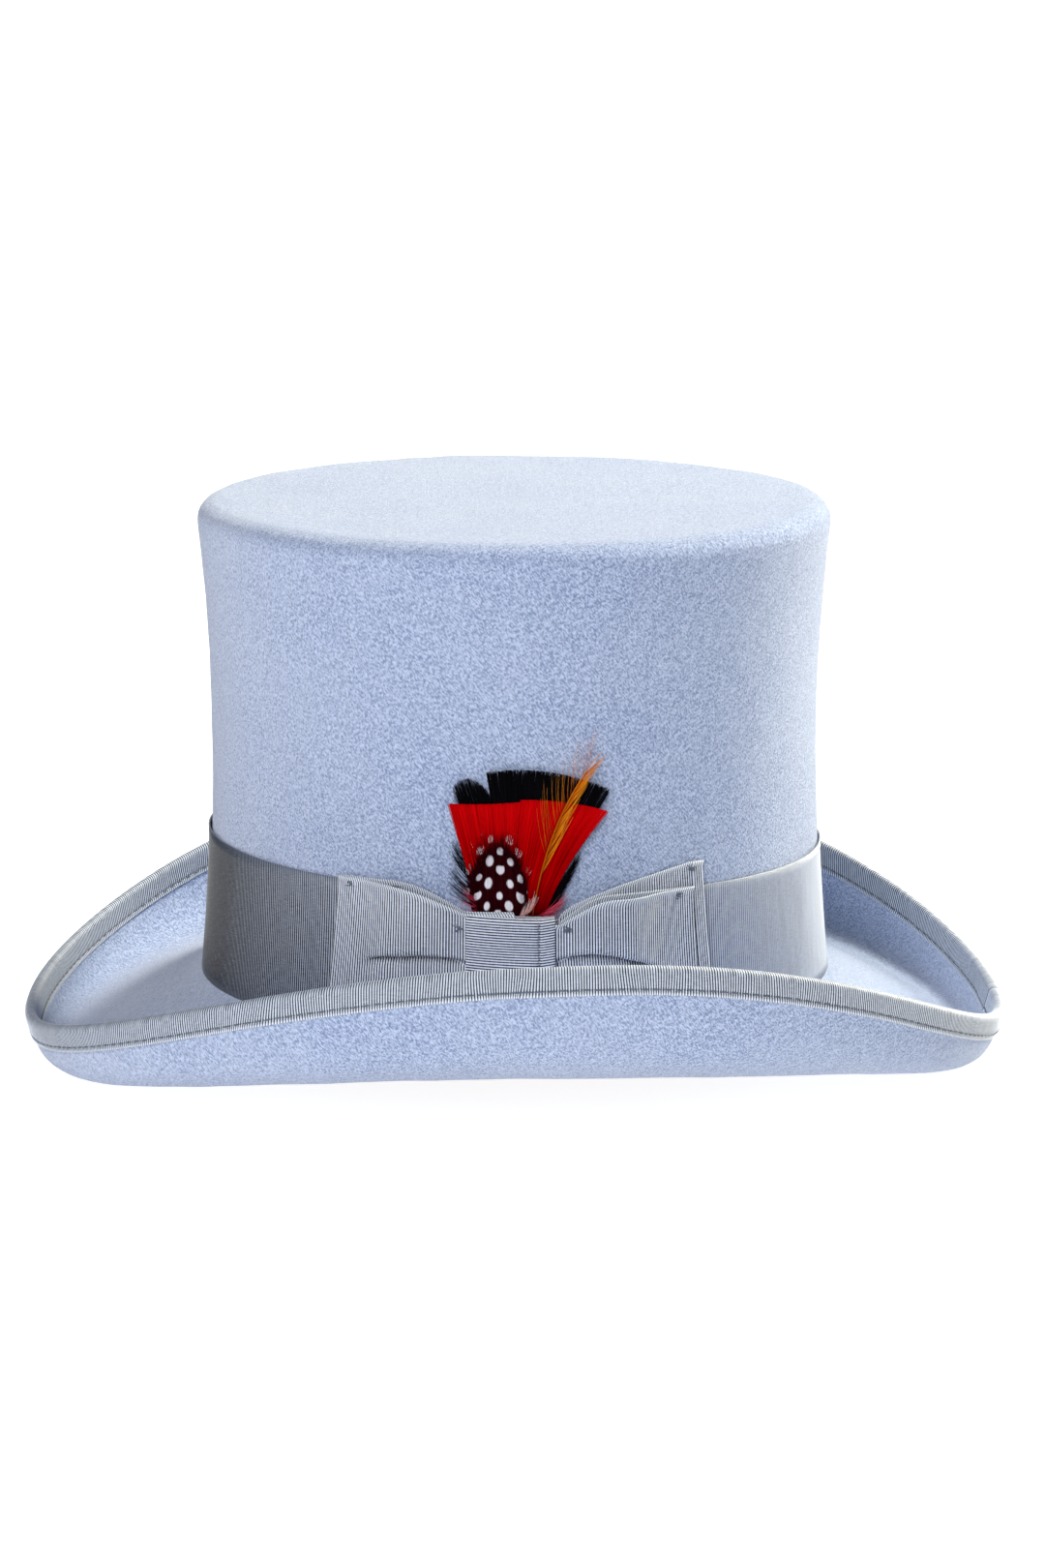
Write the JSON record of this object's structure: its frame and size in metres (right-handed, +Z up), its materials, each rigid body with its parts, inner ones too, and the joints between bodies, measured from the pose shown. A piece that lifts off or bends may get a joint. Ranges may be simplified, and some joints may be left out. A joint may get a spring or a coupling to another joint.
{
  "type": "top hat",
  "caption": "Blocked-felt top hat with curled ribbon-bound brim, ribbon band and bow, removable feather spray, sweatband and lining.",
  "frame": {"origin": "on the floor under the middle of the brim, where the dipped front and back of the brim stand", "axes": "+X to the wearer's back along the hat's length, -Y to the wearer's left side, which carries the bow, +Z up from the brim to the tip"},
  "size_m": [0.3294, 0.2576, 0.1862],
  "materials": {
    "felt": "matt wool felt, light blue",
    "grosgrain_binding": "ribbed silk-look ribbon, soft sheen",
    "grosgrain_band": "ribbed silk-look ribbon, soft sheen",
    "grosgrain_bow": "ribbed silk-look ribbon, soft sheen",
    "grey_thread": "twisted sewing thread",
    "satin_lining": "woven satin, sheen",
    "sweatband_leather": "fine-grained, semi-matt",
    "reed_plastic": "smooth",
    "woven_label": "blank, satin woven",
    "card_tab": "black backed card",
    "feather_black": "feather vane, slight sheen",
    "feather_red": "dyed feather vane, slight sheen",
    "feather_guinea": "spotted feather vane",
    "feather_golden": "fine feather barbs"
  },
  "bodies": {
    "hat": {"felt_body": "felt", "brim_binding": "grosgrain_binding", "binding_thread_top": "grey_thread", "binding_thread_under": "grey_thread", "crown_band": "grosgrain_band", "bow_left_loop": "grosgrain_bow", "bow_right_loop": "grosgrain_bow", "bow_right_tail": "grosgrain_bow", "bow_knot": "grosgrain_bow", "bow_tacks": "grey_thread", "lining_side": "satin_lining", "lining_tip": "satin_lining", "sweatband": "sweatband_leather", "sweatband_reed": "reed_plastic", "sweatband_thread": "grey_thread", "sweatband_bow": "grosgrain_bow", "size_label": "woven_label"},
    "feather_spray": {"feather_tab": "card_tab", "feather_hackle_left": "feather_black", "feather_hackle_right": "feather_black", "feather_black_small": "feather_black", "feather_black_wide": "feather_black", "feather_red_left": "feather_red", "feather_red_right": "feather_red", "feather_guinea": "feather_guinea", "feather_golden": "feather_golden"}
  },
  "joints": [
    {"name": "feather_slide", "type": "slide", "parent": "hat", "child": "feather_spray", "axis": [0, 0, 1], "range_m": [0, 0.035]}
  ]
}
